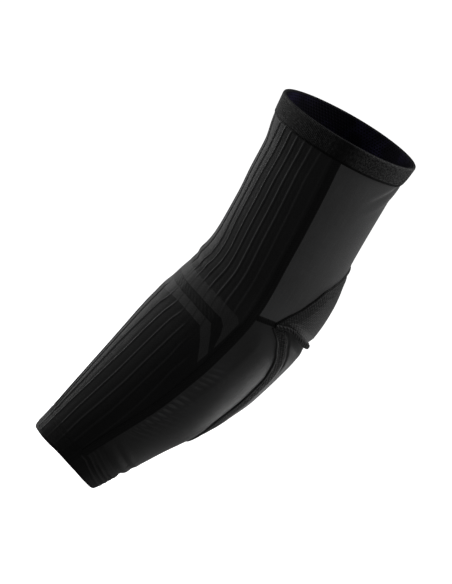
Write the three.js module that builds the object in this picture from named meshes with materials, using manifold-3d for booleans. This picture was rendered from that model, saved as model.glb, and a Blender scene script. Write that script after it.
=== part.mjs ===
import * as THREE from 'three';
import { mergeVertices } from 'three/addons/utils/BufferGeometryUtils.js';
import Module from 'manifold-3d';

// Padded elbow sleeve, bent 22 degrees. Millimetres, +Z up the upper arm.
// Origin: elbow hinge centre. -X is the inside of the elbow, +X the elbow point.
const BEND_DEG = 22;          // flexion of the sleeve as it stands
const UPPER_LENGTH = 143;     // hinge to the upper opening
const FOREARM_LENGTH = 160;   // hinge to the wrist opening
const TANGENT = 42;           // straight ends of the elbow arc, from the hinge
const FABRIC = 1.5;           // knit and lycra thickness
const CUFF_PROUD = 0.9;       // how far a cuff stands above the panels
const CUFF_DEPTH = 15;        // upper cuff band
const WRIST_DEPTH = 16;       // wrist cuff band
const SEAM_HALF = 2.7;        // half width of a flatlock seam band
const SEAM_PROUD = 0.8;
const GAP = 0.35;             // clearance between neighbouring pieces
const PIPING_R = 0.9;
const PAD_UPPER_T = 5.5;      // foam over the triceps tendon
const PAD_ELBOW_T = 7.0;      // foam over the elbow point
const PAD_FOREARM_T = 6.0;    // foam along the ulna
const LINER = 0.8;            // pocket cloth behind the foam
const LINING = 0.6;           // mesh lining in the upper tube
const HINGE_DISC = 14;        // radius at the hinge left to the flexing pieces
const UPPER_SECTOR = [24, 120];    // polar range of the rigid upper-arm pieces
const LOWER_SECTOR = [218, 358];   // polar range of the rigid forearm pieces

// Section half sizes against distance along the centre line.
const KEYS = [0, 8, 16, 22, 35, 55, 75, 95, 110, 125, 140, 155, 170, 185, 200, 215, 230, 250, 270, 290, 297, 305];
const FRONT = [53.0, 52.2, 51.4, 50.3, 47.6, 46.9, 45.3, 44.8, 45.2, 46.4, 47.5, 48.9, 49.2, 48.0, 45.8, 43.0, 40.3, 37.0, 33.3, 29.5, 28.5, 27.5];
const BACK = [47.5, 46.9, 45.6, 45.0, 44.3, 44.5, 44.8, 46.6, 48.2, 49.2, 49.3, 48.9, 49.1, 49.8, 50.0, 49.0, 46.6, 43.3, 40.0, 36.2, 35.2, 33.4];
const SIDE_KEYS = [0, 20, 60, 110, 145, 180, 210, 250, 290, 305];
const SIDE = [49, 46.5, 44.5, 44, 46, 46, 43.5, 36.5, 29.5, 27.5];
// Angle of the long side seams, 0 at the elbow point and 180 at the inside of the arm.
const SEAM_KEYS = [0, 21, 57, 99, 128, 168, 193, 233, 272, 305];
const SEAM_DEG = [101, 100, 97, 95, 92.5, 91, 89, 86.5, 87.5, 88];
// Elbow cover outline: upper and lower edge against angle.
const COVER_DEG = [0, 19, 22, 32, 36, 40, 43, 45, 49, 56, 58, 63, 66, 70, 76];
const COVER_TOP = [82, 85, 85.8, 90, 92, 94, 96, 97, 99.5, 107, 109, 115, 118, 122, 130];
const COVER_BOTTOM = [237, 231, 229, 219, 213, 203, 180, 164, 156, 146.5, 145, 140, 138, 136, 133];

const rad = d => d * Math.PI / 180;
const B = rad(BEND_DEG), ARC_R = TANGENT / Math.tan(B / 2);
const S1 = UPPER_LENGTH - TANGENT, S2 = S1 + ARC_R * B, S_END = S2 + FOREARM_LENGTH - TANGENT;

// Monotone cubic through the keys.
function curve(xs, ys) {
  const n = xs.length, h = [], d = [], m = new Array(n).fill(0);
  for (let i = 0; i < n - 1; i++) { h.push(xs[i + 1] - xs[i]); d.push((ys[i + 1] - ys[i]) / h[i]); }
  for (let i = 1; i < n - 1; i++) if (d[i - 1] * d[i] > 0) {
    const w1 = 2 * h[i] + h[i - 1], w2 = h[i] + 2 * h[i - 1];
    m[i] = (w1 + w2) / (w1 / d[i - 1] + w2 / d[i]);
  }
  m[0] = d[0]; m[n - 1] = d[n - 2];
  return x => {
    const c = Math.min(Math.max(x, xs[0]), xs[n - 1]);
    let i = 0; while (i < n - 2 && c > xs[i + 1]) i++;
    const t = (c - xs[i]) / h[i], t2 = t * t, t3 = t2 * t;
    return ys[i] * (2 * t3 - 3 * t2 + 1) + m[i] * h[i] * (t3 - 2 * t2 + t) + ys[i + 1] * (3 * t2 - 2 * t3) + m[i + 1] * h[i] * (t3 - t2);
  };
}
const front = curve(KEYS, FRONT), back = curve(KEYS, BACK), side = curve(SIDE_KEYS, SIDE);
const seamDeg = curve(SEAM_KEYS, SEAM_DEG), coverTop = curve(COVER_DEG, COVER_TOP), coverBottom = curve(COVER_DEG, COVER_BOTTOM);

function centre(s) {
  if (s <= S1) return [0, UPPER_LENGTH - s, 0];
  if (s <= S2) { const a = (s - S1) / ARC_R; return [-ARC_R * (1 - Math.cos(a)), TANGENT - ARC_R * Math.sin(a), a]; }
  const d = s - S2;
  return [-ARC_R * (1 - Math.cos(B)) - Math.sin(B) * d, TANGENT - ARC_R * Math.sin(B) - Math.cos(B) * d, B];
}
// Point on the sleeve at distance s, angle deg, offset outwards by off.
function at(s, deg, off = 0) {
  const [x, z, a] = centre(s), c = Math.cos(rad(deg)), t = Math.sin(rad(deg));
  const p = c > 0 ? back(s) : front(s), w = side(s);
  let nx = c / p, ny = t / w; const l = Math.hypot(nx, ny); nx /= l; ny /= l;
  const X = p * c + off * nx, Y = -(w * t + off * ny);
  return new THREE.Vector3(x + X * Math.cos(a), Y, z - X * Math.sin(a));
}

function solid(verts, tris) {
  const g = new THREE.BufferGeometry();
  g.setAttribute('position', new THREE.Float32BufferAttribute(verts.flatMap(v => [v.x, v.y, v.z]), 3));
  g.setIndex(tris);
  return g;
}
// Two gridded skins joined by edge walls. outer and inner are [row][column] of points.
function skin(outer, inner, closed) {
  const R = outer.length, C = outer[0].length, v = [...outer.flat(), ...inner.flat()], t = [], n = R * C;
  const id = (r, c, k) => k * n + r * C + (c % C), last = closed ? C : C - 1;
  const quad = (a, b, c, d) => t.push(a, b, c, a, c, d);
  for (let r = 0; r < R - 1; r++) for (let c = 0; c < last; c++) {
    quad(id(r, c, 0), id(r + 1, c, 0), id(r + 1, c + 1, 0), id(r, c + 1, 0));
    quad(id(r, c, 1), id(r, c + 1, 1), id(r + 1, c + 1, 1), id(r + 1, c, 1));
  }
  for (let c = 0; c < last; c++) {
    quad(id(0, c, 1), id(0, c, 0), id(0, c + 1, 0), id(0, c + 1, 1));
    quad(id(R - 1, c, 0), id(R - 1, c, 1), id(R - 1, c + 1, 1), id(R - 1, c + 1, 0));
  }
  if (!closed) for (let r = 0; r < R - 1; r++) {
    quad(id(r, 0, 0), id(r, 0, 1), id(r + 1, 0, 1), id(r + 1, 0, 0));
    quad(id(r, C - 1, 1), id(r, C - 1, 0), id(r + 1, C - 1, 0), id(r + 1, C - 1, 1));
  }
  return solid(v, t);
}
const span = (a, b, n) => Array.from({ length: n + 1 }, (_, i) => a + (b - a) * i / n);
// Skin between distances rows, with deg(s) giving the column angles.
const panel = (rows, cols, lo, hi) => skin(rows.map(s => cols(s).map(d => at(s, d, hi))), rows.map(s => cols(s).map(d => at(s, d, lo))), false);
const ring = (rows, n, lo, hi) => {
  const cols = Array.from({ length: n }, (_, i) => i * 360 / n);
  return skin(rows.map(s => cols.map(d => at(s, d, typeof hi === 'function' ? hi(s) : hi))), rows.map(s => cols.map(d => at(s, d, lo))), true);
};
// Round cord along points, closed at both ends.
function cord(pts, r, n = 5) {
  const v = [], t = [];
  pts.forEach((p, i) => {
    const d = pts[Math.min(i + 1, pts.length - 1)].clone().sub(pts[Math.max(i - 1, 0)]).normalize();
    const c = centre(Math.min(Math.max(p.userS, 0), S_END)), out = p.clone().sub(new THREE.Vector3(c[0], 0, c[1])).normalize();
    const b = new THREE.Vector3().crossVectors(d, out).normalize(), o = new THREE.Vector3().crossVectors(b, d).normalize();
    for (let k = 0; k < n; k++) { const a = 2 * Math.PI * k / n; v.push(p.clone().addScaledVector(b, r * Math.cos(a)).addScaledVector(o, r * Math.sin(a))); }
  });
  for (let i = 0; i < pts.length - 1; i++) for (let k = 0; k < n; k++) {
    const a = i * n + k, b = i * n + (k + 1) % n, c = a + n, d = b + n;
    t.push(a, b, d, a, d, c);
  }
  const e = (pts.length - 1) * n;
  for (let k = 1; k < n - 1; k++) { t.push(0, k + 1, k); t.push(e, e + k, e + k + 1); }
  return solid(v, t);
}

const wasm = await Module(); wasm.setup();
function toM(g) {
  g = g.clone(); g.deleteAttribute('normal'); g.deleteAttribute('uv'); g = mergeVertices(g, 1e-5);
  const p = g.attributes.position.array, i = Uint32Array.from(g.index.array);
  let m = new wasm.Manifold(new wasm.Mesh({ numProp: 3, vertProperties: Float32Array.from(p), triVerts: i }));
  if (m.volume() < 0) {
    for (let k = 0; k < i.length; k += 3) { const q = i[k]; i[k] = i[k + 1]; i[k + 1] = q; }
    m = new wasm.Manifold(new wasm.Mesh({ numProp: 3, vertProperties: Float32Array.from(p), triVerts: i }));
  }
  return m;
}
function fromM(m) {
  const q = m.getMesh(), g = new THREE.BufferGeometry(), n = q.numProp, p = [];
  for (let i = 0; i < q.vertProperties.length; i += n) p.push(q.vertProperties[i], q.vertProperties[i + 1], q.vertProperties[i + 2]);
  g.setAttribute('position', new THREE.Float32BufferAttribute(p, 3));
  g.setIndex(Array.from(q.triVerts));
  return g;
}
// Prism across the arm over a polar sector about the hinge; grow widens it.
function sector([a0, a1], r, grow) {
  const at2 = (a, rr, g) => new THREE.Vector2(rr * Math.cos(rad(a)) + g * Math.cos(rad(a + 90)), rr * Math.sin(rad(a)) + g * Math.sin(rad(a + 90)));
  const p = [], n = 8;
  for (let i = 0; i <= n; i++) { const a = a0 + (a1 - a0) * i / n; p.push(at2(a, r - grow, i === 0 ? -grow : i === n ? grow : 0)); }
  for (let i = n; i >= 0; i--) { const a = a0 + (a1 - a0) * i / n; p.push(at2(a, 500, i === 0 ? -grow : i === n ? grow : 0)); }
  const g = new THREE.ExtrudeGeometry(new THREE.Shape(p), { depth: 240, bevelEnabled: false });
  g.translate(0, 0, -120); g.rotateX(Math.PI / 2);
  return toM(g);
}
const upperZone = sector(UPPER_SECTOR, HINGE_DISC, 0), lowerZone = sector(LOWER_SECTOR, HINGE_DISC, 0);
const upperGrown = sector(UPPER_SECTOR, HINGE_DISC, GAP), lowerGrown = sector(LOWER_SECTOR, HINGE_DISC, GAP);
const half = sign => { const g = new THREE.BoxGeometry(800, 200, 800); g.translate(0, sign * 100, 0); return toM(g); };

// Rows along the sleeve, closer together at the elbow.
const top = CUFF_DEPTH + GAP, bottom = S_END - WRIST_DEPTH - GAP;
const rows = [top, 26, 38, 50, 62, 74, 85, 95, 105, 114, 123, 132, 141, 150, 159, 168, 178, 188, 199, 210, 222, 234, 247, 260, 273, bottom];
const inDeg = (mm, s) => mm / (side(s) * Math.PI / 180);

const knit = toM(panel(rows, s => span(seamDeg(s) + inDeg(SEAM_HALF + GAP, s), 360 - seamDeg(s) - inDeg(SEAM_HALF + GAP, s), 14), -FABRIC, 0));
const rear = toM(panel(rows, s => span(-seamDeg(s) + inDeg(SEAM_HALF + GAP, s), seamDeg(s) - inDeg(SEAM_HALF + GAP, s), 18), -FABRIC, 0));
const seam = sign => toM(panel(rows, s => {
  const h = inDeg(SEAM_HALF, s), c = seamDeg(s);
  return sign > 0 ? [c - h, c, c + h] : [360 - c - h, 360 - c, 360 - c + h];
}, -FABRIC, SEAM_PROUD));

// Elbow cover, gridded between its own edges.
function coverSkin(lo, hi, grow) {
  const degs = [-76, -70, -63, -58, -52, -46, -42, -38, -32, -22, -11, 0, 11, 22, 32, 38, 42, 46, 52, 58, 63, 70, 76];
  const wide = degs.map((d, i) => (i === 0 ? d - grow : i === degs.length - 1 ? d + grow : d));
  const line = (d, v) => { const q = Math.min(Math.abs(d), 76), a = coverTop(q) - grow, b = coverBottom(q) + grow; return a + (b - a) * v; };
  const vs = span(0, 1, 10);
  return toM(skin(vs.map(v => wide.map(d => at(line(d, v), d, hi))), vs.map(v => wide.map(d => at(line(d, v), d, lo))), false));
}
const cover = coverSkin(-FABRIC, 0, 0), coverCut = coverSkin(-FABRIC - 2, 2.5, GAP * 1.6);
const rearOpen = rear.subtract(coverCut);

// Foam under the cover and along the ulna, thinned to its edges.
function pad(s0, s1, deg, n, m, gap, t) {
  const ss = span(s0, s1, m), ds = span(-deg, deg, n);
  const fall = (i, j) => Math.min(1, 0.28 + 1.5 * Math.sin(Math.PI * i / m)) * Math.min(1, 0.28 + 1.6 * Math.sin(Math.PI * j / n));
  return toM(skin(ss.map(s => ds.map(d => at(s, d, -gap))), ss.map((s, i) => ds.map((d, j) => at(s, d, -gap - t * fall(i, j)))), false));
}
const UNDER = FABRIC + 0.8;
const padUpper = pad(90, 126, 40, 8, 5, UNDER, PAD_UPPER_T);
const padElbow = pad(138, 182, 58, 10, 6, UNDER, PAD_ELBOW_T);
const padForearm = pad(184, 246, 66, 10, 6, UNDER, PAD_FOREARM_T);
// Pocket cloth behind the foam.
function liner(s0, s1, deg, n, m, t) {
  const ss = span(s0, s1, m), ds = span(-deg, deg, n);
  const d0 = (i, j) => UNDER + 0.5 + (t + 0.6) * Math.min(1, 1.9 * Math.sin(Math.PI * i / m)) * Math.min(1, 2.2 * Math.sin(Math.PI * j / n));
  return toM(skin(ss.map((s, i) => ds.map((d, j) => at(s, d, -d0(i, j)))), ss.map((s, i) => ds.map((d, j) => at(s, d, -d0(i, j) - LINER))), false));
}
const linerUpper = liner(80, 136, 54, 10, 8, PAD_UPPER_T + 0.5);
const linerLower = liner(126, 258, 80, 12, 11, PAD_ELBOW_T + 0.5);

// Piping along the cover edges.
const edge = (f, degs) => degs.map(d => { const s = f(Math.abs(d)), p = at(s, d, PIPING_R + 0.35); p.userS = s; return p; });
const degsTop = [-58, -54, -49, -43, -36, -28, -19, -10, 0, 10, 19, 28, 36, 43, 49, 54, 58];
const degsLow = [-70, -63, -58, -54, -49, -46, -44.4, -43.4, -42.4, -41.4, -40, -37, -32, -27, -22, -15, -7, 0, 7, 15, 22, 27, 32, 37, 40, 41.4, 42.4, 43.4, 44.4, 46, 49, 54, 58, 63, 70];
const pipingTop = toM(cord(edge(coverTop, degsTop), PIPING_R));
const pipingLow = toM(cord(edge(coverBottom, degsLow), PIPING_R));

const sleeve = new THREE.Group(); sleeve.name = 'elbow_pad';
function put(name, geo, color, roughness, metalness = 0) {
  const g = geo instanceof THREE.BufferGeometry ? geo : fromM(geo);
  const f = g.index ? g.toNonIndexed() : g; f.computeVertexNormals();
  const mesh = new THREE.Mesh(f, new THREE.MeshStandardMaterial({ color, roughness, metalness }));
  mesh.name = name; sleeve.add(mesh);
}
// The largest separate body of a cut.
function main(m) { const parts = m.decompose(); parts.sort((a, b) => b.volume() - a.volume()); return parts[0]; }
const within = (m, z) => main(m.intersect(z)), between = m => m.subtract(upperGrown).subtract(lowerGrown);
const near = half(-1), far = half(1);
const KNIT = 0x1c1d20, SATIN = 0x26272b, COVER = 0x18191b, SEAM = 0x0f1012, CUFF = 0x232427, FOAM = 0x3a3b40, MESH = 0x1a1726;

put('upper_cuff_band', toM(ring([0, 4, CUFF_DEPTH], 30, -FABRIC, CUFF_PROUD)), CUFF, 0.95);
put('upper_mesh_lining', toM(ring([0.8, 16, 36, 56], 30, -FABRIC - 0.8 - LINING, -FABRIC - 0.8)), MESH, 0.9);
put('biceps_knit_panel', within(knit, upperZone), KNIT, 0.9);
put('triceps_panel', within(rearOpen, upperZone), SATIN, 0.55);
put('upper_seam_near', within(seam(1), upperZone), SEAM, 0.9);
put('upper_seam_far', within(seam(-1), upperZone), SEAM, 0.9);
put('elbow_cover_upper', within(cover, upperZone), COVER, 0.85);
put('cover_piping_upper', within(pipingTop, upperZone), SEAM, 0.8);
put('elbow_pad_upper', within(padUpper, upperZone), FOAM, 0.95);
put('pad_liner_upper', within(linerUpper, upperZone), MESH, 0.9);

put('elbow_crease_knit', main(between(knit)), KNIT, 0.9);
put('elbow_side_near', main(between(rearOpen).intersect(near)), SATIN, 0.6);
put('elbow_side_far', main(between(rearOpen).intersect(far)), SATIN, 0.6);
put('elbow_fold_cover', main(between(cover)), COVER, 0.85);
put('elbow_seam_near', main(between(seam(1))), SEAM, 0.9);
put('elbow_seam_far', main(between(seam(-1))), SEAM, 0.9);

put('forearm_knit_panel', within(knit, lowerZone), KNIT, 0.9);
put('forearm_side_panel', within(rearOpen, lowerZone), SATIN, 0.55);
put('lower_seam_near', within(seam(1), lowerZone), SEAM, 0.9);
put('lower_seam_far', within(seam(-1), lowerZone), SEAM, 0.9);
put('elbow_cover_lower', within(cover, lowerZone), COVER, 0.8);
put('cover_piping_lower', within(pipingLow, lowerZone), SEAM, 0.8);
put('elbow_pad_lower', within(padElbow, lowerZone), FOAM, 0.95);
put('forearm_pad', within(padForearm, lowerZone), FOAM, 0.95);
put('pad_liner_lower', within(linerLower, lowerZone), MESH, 0.9);
put('wrist_cuff_band', toM(ring([S_END - WRIST_DEPTH, S_END - 3, S_END], 30, -FABRIC, CUFF_PROUD * 0.7)), CUFF, 0.95);

export default sleeve;
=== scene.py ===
import bpy, math
import numpy as np
from mathutils import Matrix, Vector


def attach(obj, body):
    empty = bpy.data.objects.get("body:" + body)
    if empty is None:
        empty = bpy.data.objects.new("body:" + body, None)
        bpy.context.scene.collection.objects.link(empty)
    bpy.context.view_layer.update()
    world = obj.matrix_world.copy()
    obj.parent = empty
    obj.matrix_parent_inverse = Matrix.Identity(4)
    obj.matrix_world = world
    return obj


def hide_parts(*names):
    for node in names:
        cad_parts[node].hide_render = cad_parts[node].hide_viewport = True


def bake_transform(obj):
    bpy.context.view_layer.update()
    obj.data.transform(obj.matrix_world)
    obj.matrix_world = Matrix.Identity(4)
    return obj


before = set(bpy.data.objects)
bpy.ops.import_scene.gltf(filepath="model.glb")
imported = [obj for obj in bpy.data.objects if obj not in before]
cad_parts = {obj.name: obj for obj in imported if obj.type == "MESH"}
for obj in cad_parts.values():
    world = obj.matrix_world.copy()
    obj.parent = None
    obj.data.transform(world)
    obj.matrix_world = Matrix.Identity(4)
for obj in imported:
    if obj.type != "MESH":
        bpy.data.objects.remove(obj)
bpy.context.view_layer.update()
UPPER, LOWER = "upper_arm_sleeve", "forearm_sleeve"

# ---------------------------------------------------------------- sleeve surface, in mm
BEND = math.radians(22.0)
UPPER_LENGTH, FOREARM_LENGTH, TANGENT = 143.0, 160.0, 42.0
ARC_R = TANGENT / math.tan(BEND / 2)
S1 = UPPER_LENGTH - TANGENT
S2 = S1 + ARC_R * BEND
S_END = S2 + FOREARM_LENGTH - TANGENT
WRIST_DEPTH = 16.0


def curve(xs, ys):
    xs, ys = np.array(xs, float), np.array(ys, float)
    h = np.diff(xs)
    d = np.diff(ys) / h
    m = np.zeros(len(xs))
    for i in range(1, len(xs) - 1):
        if d[i - 1] * d[i] > 0:
            w1, w2 = 2 * h[i] + h[i - 1], h[i] + 2 * h[i - 1]
            m[i] = (w1 + w2) / (w1 / d[i - 1] + w2 / d[i])
    m[0], m[-1] = d[0], d[-1]

    def f(x):
        c = np.clip(np.asarray(x, float), xs[0], xs[-1])
        i = np.clip(np.searchsorted(xs, c, side="right") - 1, 0, len(h) - 1)
        t = (c - xs[i]) / h[i]
        t2, t3 = t * t, t * t * t
        return ys[i] * (2 * t3 - 3 * t2 + 1) + m[i] * h[i] * (t3 - 2 * t2 + t) + ys[i + 1] * (3 * t2 - 2 * t3) + m[i + 1] * h[i] * (t3 - t2)

    return f


KEYS = [0, 8, 16, 22, 35, 55, 75, 95, 110, 125, 140, 155, 170, 185, 200, 215, 230, 250, 270, 290, 297, 305]
FRONT = [53.0, 52.2, 51.4, 50.3, 47.6, 46.9, 45.3, 44.8, 45.2, 46.4, 47.5, 48.9, 49.2, 48.0, 45.8, 43.0, 40.3, 37.0, 33.3, 29.5, 28.5, 27.5]
BACK = [47.5, 46.9, 45.6, 45.0, 44.3, 44.5, 44.8, 46.6, 48.2, 49.2, 49.3, 48.9, 49.1, 49.8, 50.0, 49.0, 46.6, 43.3, 40.0, 36.2, 35.2, 33.4]
front, back = curve(KEYS, FRONT), curve(KEYS, BACK)
side = curve([0, 20, 60, 110, 145, 180, 210, 250, 290, 305], [49, 46.5, 44.5, 44, 46, 46, 43.5, 36.5, 29.5, 27.5])
seam_deg = curve([0, 21, 57, 99, 128, 168, 193, 233, 272, 305], [101, 100, 97, 95, 92.5, 91, 89, 86.5, 87.5, 88])
C_DEG = [0, 19, 22, 32, 36, 40, 43, 45, 49, 56, 58, 63, 66, 70, 76]
cover_top = curve(C_DEG, [82, 85, 85.8, 90, 92, 94, 96, 97, 99.5, 107, 109, 115, 118, 122, 130])
cover_bottom = curve(C_DEG, [237, 231, 229, 219, 213, 203, 180, 164, 156, 146.5, 145, 140, 138, 136, 133])
fold_line = curve([0, 19, 46, 62, 76], [137.5, 136.0, 131.5, 128.8, 131.2])
short_seam = curve([70, 76, 83, 91, 100], [129.6, 130.4, 131.5, 133, 134.6])


def smooth(x, a, b):
    t = np.clip((np.asarray(x, float) - a) / (b - a), 0, 1)
    return t * t * (3 - 2 * t)


def rounded(f):
    """The same line, turned smoothly where it crosses the middle of the back."""
    return lambda a: f(np.sqrt(np.asarray(a, float) ** 2 + 25 * (1 - smooth(np.asarray(a, float), 0, 40))))


cover_top, cover_bottom, fold_line = rounded(cover_top), rounded(cover_bottom), rounded(fold_line)


def centre(s):
    s = np.asarray(s, float)
    a = np.clip((s - S1) / ARC_R, 0, BEND)
    d = np.maximum(s - S2, 0)
    x = -ARC_R * (1 - np.cos(a)) - np.sin(BEND) * d
    z = np.where(s <= S1, UPPER_LENGTH - s, TANGENT - ARC_R * np.sin(a) - np.cos(BEND) * d)
    return x, z, a


def bumpgrid(seed, n=64):
    return np.random.default_rng(seed).random((n, n))


def noise(x, y, seed):
    """Smooth value noise from 0 to 1."""
    g = bumpgrid(seed)
    xi, yi = np.floor(x).astype(int), np.floor(y).astype(int)
    fx, fy = x - xi, y - yi
    fx, fy = fx * fx * (3 - 2 * fx), fy * fy * (3 - 2 * fy)
    q = lambda i, j: g[i % 64, j % 64]
    return (q(xi, yi) * (1 - fx) + q(xi + 1, yi) * fx) * (1 - fy) + (q(xi, yi + 1) * (1 - fx) + q(xi + 1, yi + 1) * fx) * fy


def pad_swell(s, deg):
    """How far the foam pushes the cloth out, in mm."""
    a = np.abs(deg)
    fore = 1.9 * smooth(-a, -86, -76) * smooth(s, 137, 152) * (1 - smooth(s, 226, 256)) * smooth(a, 8, 40)
    elbow = 1.0 * (1 - smooth(a, 30, 62)) * smooth(s, 92, 112) * (1 - smooth(s, 176, 200))
    return fore + elbow


HEM_LINES = (277.9, 281.4, 285.0, 289.2)


def hem_drop(a):
    """How much further down the wrist hem sits towards the back."""
    return 10.5 * np.clip(1 - (a / 84.0) ** 2, 0, 1)


def cuff_pull(s, a):
    """Distance across the soft pulls below the upper cuff, and how strong they are."""
    pull = smooth(a, 6, 20) * (1 - smooth(a, 44, 66)) * smooth(s, 13, 17) * (1 - smooth(s, 34, 54))
    return (s - 13) - 0.5 * (a - 20), np.where(a < seam_deg(s), pull, 0)


def drape(s, deg):
    """Folds and puckers of the stretched cloth, in mm. Mirror sides differ a little."""
    s, deg = np.broadcast_arrays(np.asarray(s, float), np.asarray(deg, float))
    a = np.abs(((deg + 180) % 360) - 180)
    sign = np.where(((deg + 180) % 360) - 180 >= 0, 0.0, 31.0)
    out = pad_swell(s, a)
    # puckers square to the long seam on the forearm
    from_seam = (seam_deg(s) - a) * math.pi / 180 * side(s)
    zone = smooth(s, 168, 184) * (1 - smooth(s, 244, 262))
    reach = np.exp(-(np.clip(from_seam - 2.0, 0, None) / 7.5) ** 2) * smooth(from_seam, 0.2, 2.2)
    v = s + 0.45 * from_seam + sign
    ripple = np.sin(2 * np.pi * v / 4.9 + 5.2 * noise(v / 13, from_seam / 30 + 1.3, 5)) * (0.15 + 0.85 * noise(v / 7, from_seam / 12 + 4.0, 9))
    out = out + np.where(from_seam > -1, 0.74 * zone * reach * ripple, 0)
    # soft pulls below the upper cuff on the rear panel
    t, pull = cuff_pull(s, a)
    out = out + pull * (0.45 * np.exp(-((t + 6.5) / 3.8) ** 2) - 0.85 * np.exp(-((t - 0.4) / 3.6) ** 2) + 0.45 * np.exp(-((t - 8.0) / 4.6) ** 2) - 0.25 * np.exp(-((t - 16.5) / 5.0) ** 2))
    # gathers above the wrist band on the rear panel
    g = np.where(a < seam_deg(s), 1 - 0.35 * smooth(a, 76, 88), 0) * (0.35 + 0.65 * smooth(a, 4, 30))
    q = s - hem_drop(a)
    out = out + g * (0.55 * np.exp(-((q - 268.9) / 2.4) ** 2) - 1.25 * np.exp(-((q - 273.4) / 1.9) ** 2) - 0.35 * np.exp(-((q - 264.0) / 1.7) ** 2) + 0.3 * np.exp(-((q - 260.6) / 2.4) ** 2))
    # lines of stitching round the back of the wrist hem
    for line_at in HEM_LINES:
        out = out + g * (0.24 * np.exp(-((q - line_at) / 0.8) ** 2) - 0.14 * np.exp(-((q - line_at - 1.7) / 0.8) ** 2))
    # slow unevenness everywhere
    turn = np.radians(deg)
    out = out + 0.5 * (noise(s / 34 + 1.6 * np.cos(turn), 1.5 * np.sin(turn) + 9, 3) - 0.5)
    # the crease of the ribbed knit at the inside of the elbow
    f = smooth(a, 130, 165)
    out = out - f * 0.55 * np.exp(-((s - 134) / 3.5) ** 2) + f * 0.5 * np.exp(-((s - 127) / 4) ** 2)
    return out


wrist_edge = curve([0, 30, 60, 85, 100, 117, 135, 150, 180], [304.5, 303.8, 301.8, 300.6, 300.6, 301.4, 303.2, 304.6, 307.0])


def at(s, deg, off=0.0, shape=True):
    """Points on the sleeve, in metres."""
    s, deg, off = np.broadcast_arrays(np.asarray(s, float), np.asarray(deg, float), np.asarray(off, float))
    if shape:
        off = off + drape(s, deg)
    x, z, a = centre(s)
    c, t = np.cos(np.radians(deg)), np.sin(np.radians(deg))
    p, w = np.where(c > 0, back(s), front(s)), side(s)
    nx, ny = c / p, t / w
    l = np.hypot(nx, ny)
    X, Y = p * c + off * nx / l, -(w * t + off * ny / l)
    return np.stack([x + X * np.cos(a), Y, z - X * np.sin(a)], -1) * 0.001


# ---------------------------------------------------------------- meshes
def make(name, verts, faces, uv=None, attrs=None, sharp=38):
    me = bpy.data.meshes.new(name)
    me.from_pydata(verts.reshape(-1, 3).tolist(), [], faces.tolist() if hasattr(faces, "tolist") else faces)
    me.polygons.foreach_set("use_smooth", np.ones(len(me.polygons), bool))
    if uv is not None:
        layer = me.uv_layers.new(name="cloth")
        idx = np.empty(len(me.loops), int)
        me.loops.foreach_get("vertex_index", idx)
        layer.data.foreach_set("uv", uv.reshape(-1, 2)[idx].astype(np.float32).ravel())
    for k, v in (attrs or {}).items():
        at_ = me.attributes.new(k, "FLOAT", "POINT")
        at_.data.foreach_set("value", np.asarray(v, np.float32).ravel())
    me.validate()
    me.update()
    me.set_sharp_from_angle(angle=math.radians(sharp))
    ob = bpy.data.objects.new(name, me)
    bpy.context.scene.collection.objects.link(ob)
    return ob


CUT = {}


def shell(name, S, D, hi, lo, uv=None, attrs=None, closed=False, flip=False, shape=True, lo_rows=1):
    """A cloth piece: an outer skin over grid S (distance), D (degrees), an inner skin, and edge walls."""
    S, D = np.broadcast_arrays(np.asarray(S, float), np.asarray(D, float))
    R, C = S.shape
    hi, lo = np.broadcast_to(hi, S.shape), np.broadcast_to(lo, S.shape)
    V = np.concatenate([at(S, D, hi, shape).reshape(-1, 3), at(S, D, lo, shape).reshape(-1, 3)])
    n = R * C
    # the smooth form the cloth is stretched over, for its cut size
    M = at(S, D, 0.0, False)
    level = at(S.mean(1, keepdims=True), D, 0.0, False)
    across, along = np.linalg.norm(np.diff(level, axis=1), axis=-1), np.linalg.norm(np.diff(M, axis=0), axis=-1)
    cell = np.linalg.norm(np.cross(M[1:, :-1] - M[:-1, :-1], M[:-1, 1:] - M[:-1, :-1]), axis=-1)
    CUT[name] = (across.sum(1).max(), along.sum(0).max(), cell.sum())
    r, c = np.meshgrid(np.arange(R - 1), np.arange(C - 1), indexing="ij")
    a = (r * C + c).ravel()
    q = lambda w, x, y, z: np.stack([w, x, y, z], -1)
    F = [q(a, a + C, a + C + 1, a + 1), q(a + n, a + n + 1, a + n + C + 1, a + n + C)]
    e = np.arange(C - 1)
    b = (R - 1) * C
    F += [q(e + n, e, e + 1, e + n + 1), q(b + e, b + e + n, b + e + n + 1, b + e + 1)]
    if not closed:
        e = np.arange(R - 1) * C
        F += [q(e, e + n, e + n + C, e + C), q(e + C - 1 + n, e + C - 1, e + 2 * C - 1, e + n + 2 * C - 1)]
    F = np.concatenate(F)
    if uv is None:
        uv = np.stack([np.radians(D) * 45 / 100, S / 100], -1)
    uv = np.concatenate([uv.reshape(-1, 2)] * 2)
    at2 = {k: np.concatenate([np.broadcast_to(v, S.shape).ravel()] * 2) for k, v in (attrs or {}).items()}
    at2["inner"] = np.concatenate([np.zeros(n), np.ones(n)])
    ob = make(name, V, F, uv, at2)
    if closed:
        weld(ob)
    return ob


def weld(ob, dist=1e-5):
    import bmesh
    bm = bmesh.new()
    bm.from_mesh(ob.data)
    bmesh.ops.remove_doubles(bm, verts=bm.verts, dist=dist)
    bm.to_mesh(ob.data)
    bm.free()


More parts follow.
